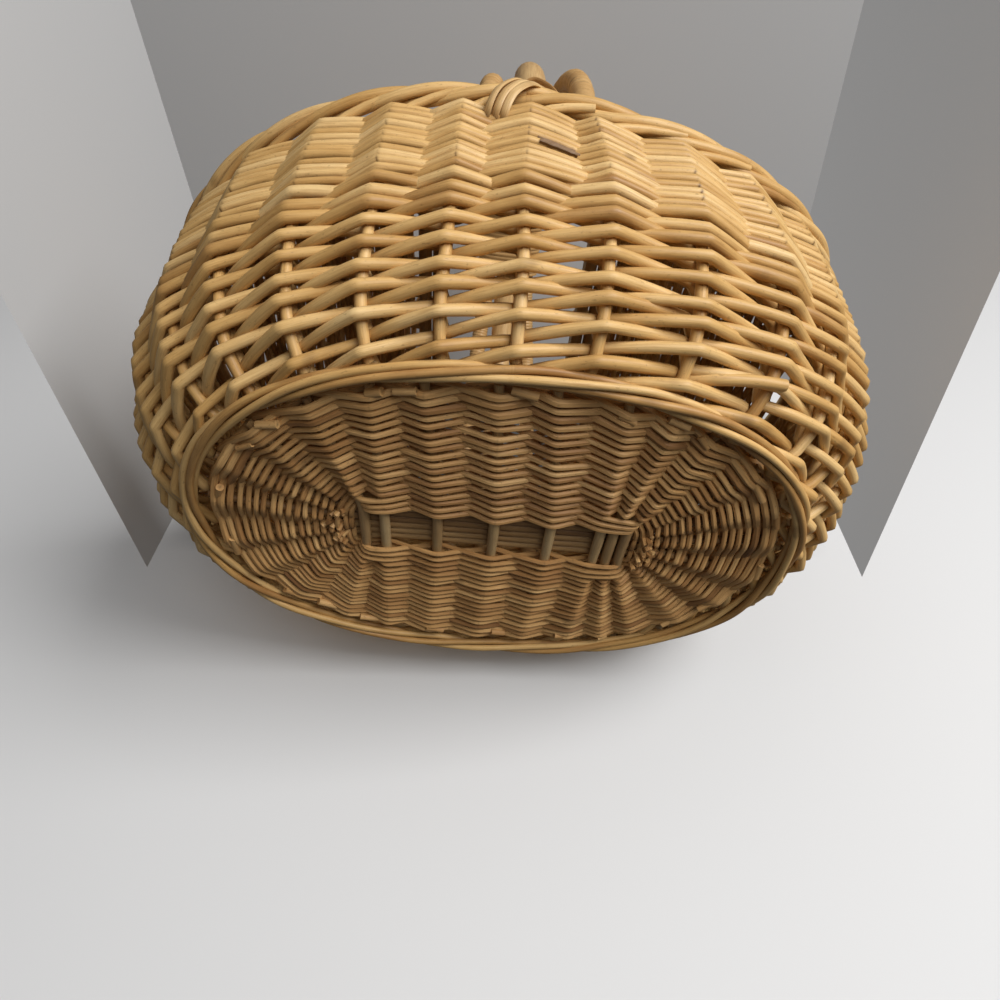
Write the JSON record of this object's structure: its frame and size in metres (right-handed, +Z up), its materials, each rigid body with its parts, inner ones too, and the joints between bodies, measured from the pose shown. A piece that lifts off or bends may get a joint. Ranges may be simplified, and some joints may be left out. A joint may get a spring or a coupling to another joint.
{
  "type": "wicker picnic basket",
  "caption": "Oval willow picnic basket with a rolled rim border, a fixed bow handle across its short axis and two half-oval lids hinged beside the handle.",
  "frame": {"origin": "on the floor under the middle of the basket", "axes": "+Z up, X along the basket's long axis, Y along the handle's span, the pictured long side at -Y"},
  "size_m": [0.4274, 0.3658, 0.3553],
  "materials": {
    "golden_willow": "satin",
    "base_willow": "matte",
    "peeled_stick": "satin",
    "bow_wood": "satin",
    "willow_skein": "satin"
  },
  "bodies": {
    "basket": {"foot_border": "base_willow", "base_weave": "base_willow", "core_rod_1": "peeled_stick", "core_rod_2": "peeled_stick", "core_rod_3": "peeled_stick", "core_rod_4": "peeled_stick", "core_rod_5": "peeled_stick", "core_rod_6": "peeled_stick", "cross_stick_1": "peeled_stick", "cross_stick_2": "peeled_stick", "cross_stick_3": "peeled_stick", "cross_stick_4": "peeled_stick", "cross_stick_5": "peeled_stick", "cross_stick_6": "peeled_stick", "cross_stick_7": "peeled_stick", "cross_stick_8": "peeled_stick", "wall_weave": "golden_willow", "rim_rod_1": "golden_willow", "rim_rod_2": "golden_willow", "rim_rod_3": "golden_willow", "centre_bow": "bow_wood", "left_bow": "willow_skein", "right_bow": "willow_skein", "grip_binding": "willow_skein", "front_lashing": "willow_skein", "front_tie": "willow_skein", "back_lashing": "willow_skein", "back_tie": "willow_skein", "left_hinge_bar": "peeled_stick", "right_hinge_bar": "peeled_stick"},
    "left_lid": {"left_lid_frame": "peeled_stick", "left_lid_spine": "peeled_stick", "left_lid_panel": "golden_willow", "left_lid_loop_1": "willow_skein", "left_lid_loop_2": "willow_skein", "left_lid_loop_3": "willow_skein", "left_lid_loop_4": "willow_skein"},
    "right_lid": {"right_lid_frame": "peeled_stick", "right_lid_spine": "peeled_stick", "right_lid_panel": "golden_willow", "right_lid_loop_1": "willow_skein", "right_lid_loop_2": "willow_skein", "right_lid_loop_3": "willow_skein", "right_lid_loop_4": "willow_skein"}
  },
  "joints": [
    {"name": "left_lid_hinge", "type": "hinge", "parent": "basket", "child": "left_lid", "pos_m": [-0.0445, 0, 0.1525], "axis": [0, 1, 0], "range_deg": [0, 93]},
    {"name": "right_lid_hinge", "type": "hinge", "parent": "basket", "child": "right_lid", "pos_m": [0.0445, 0, 0.1525], "axis": [0, -1, 0], "range_deg": [0, 93]}
  ]
}
